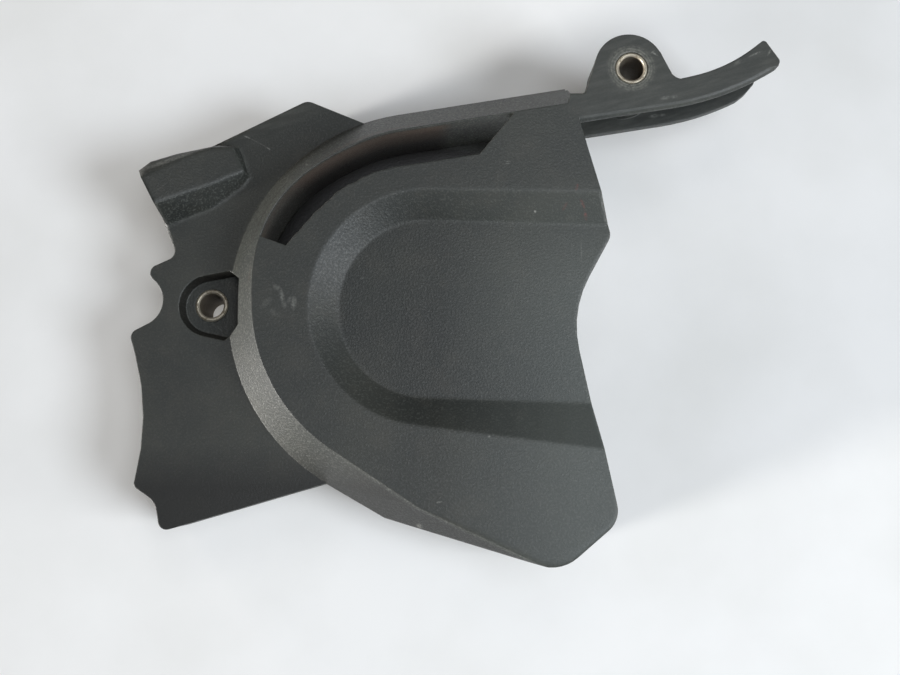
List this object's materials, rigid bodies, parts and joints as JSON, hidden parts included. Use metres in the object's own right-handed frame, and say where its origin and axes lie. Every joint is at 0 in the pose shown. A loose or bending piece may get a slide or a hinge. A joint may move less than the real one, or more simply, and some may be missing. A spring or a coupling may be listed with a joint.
{
  "type": "motorcycle sprocket cover",
  "caption": "Left-hand cover for a motorcycle's front sprocket: a moulded dome with a sunk panel, a vent slot, a cable duct and a chain guide arm, with steel bolt collars.",
  "frame": {"origin": "centre of the front bolt hole at the face that seats on the engine", "axes": "+Z along the front bolt hole, outwards from the engine; +X towards the rear of the motorcycle; +Y up on the motorcycle"},
  "size_m": [0.1859, 0.1495, 0.041],
  "materials": {
    "moulding": "black moulded nylon with a fine even grain, lightly worn",
    "collar_steel": "dull zinc-plated steel with light stains"
  },
  "bodies": {
    "root": {"cover": "moulding", "front_collar": "collar_steel", "rear_collar": "collar_steel"}
  },
  "joints": []
}
